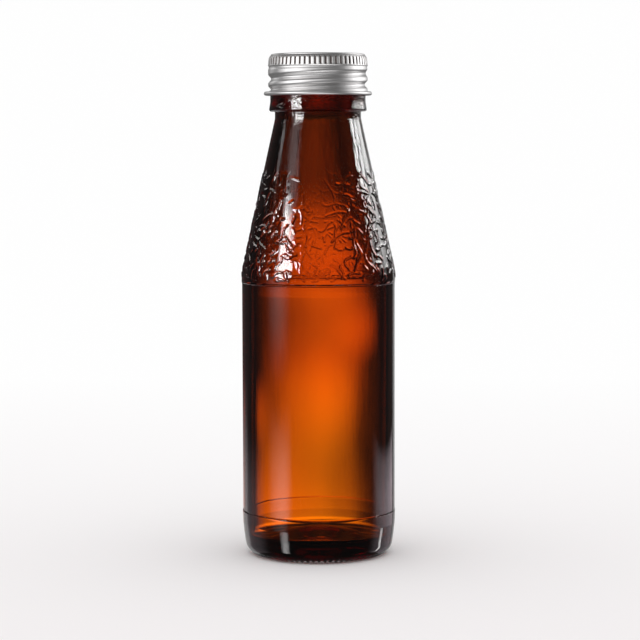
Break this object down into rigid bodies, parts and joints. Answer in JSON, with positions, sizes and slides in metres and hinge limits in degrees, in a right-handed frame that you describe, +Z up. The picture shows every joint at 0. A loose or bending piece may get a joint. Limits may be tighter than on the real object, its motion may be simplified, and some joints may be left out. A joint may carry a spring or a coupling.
{
  "type": "amber glass drinks bottle with screw cap",
  "caption": "Small amber glass bottle with a straight recessed label panel, a textured conical shoulder and a knurled aluminium screw cap with a sealing liner.",
  "frame": {"origin": "centre of the circle that the bottle stands on", "axes": "+Z up along the bottle's axis, -Y towards the viewer; the thread's angles are counted from -Y"},
  "size_m": [0.0438, 0.0438, 0.1423],
  "materials": {
    "amber_glass": "clear amber, fire-polished, orange-peel relief on the shoulder",
    "cap_aluminium": "satin, drawn sheet",
    "liner_foam": "fine closed-cell foam",
    "liner_facing": "smooth film"
  },
  "bodies": {
    "bottle": {"glass_bottle": "amber_glass"},
    "liner": {"liner_foam": "liner_foam", "liner_facing": "liner_facing"},
    "cap": {"cap_shell": "cap_aluminium"}
  },
  "joints": [
    {"name": "cap_lift", "type": "slide", "parent": "bottle", "child": "liner", "axis": [0, 0, 1], "range_m": [0, 0.0159]},
    {"name": "cap_turn", "type": "hinge", "parent": "liner", "child": "cap", "pos_m": [0, 0, 0.1365], "axis": [0, 0, 1], "range_deg": [0, 1800]}
  ],
  "couplings": [
    {"joint": "cap_lift", "follows": "cap_turn", "m_per_rad": 0.00050532}
  ]
}
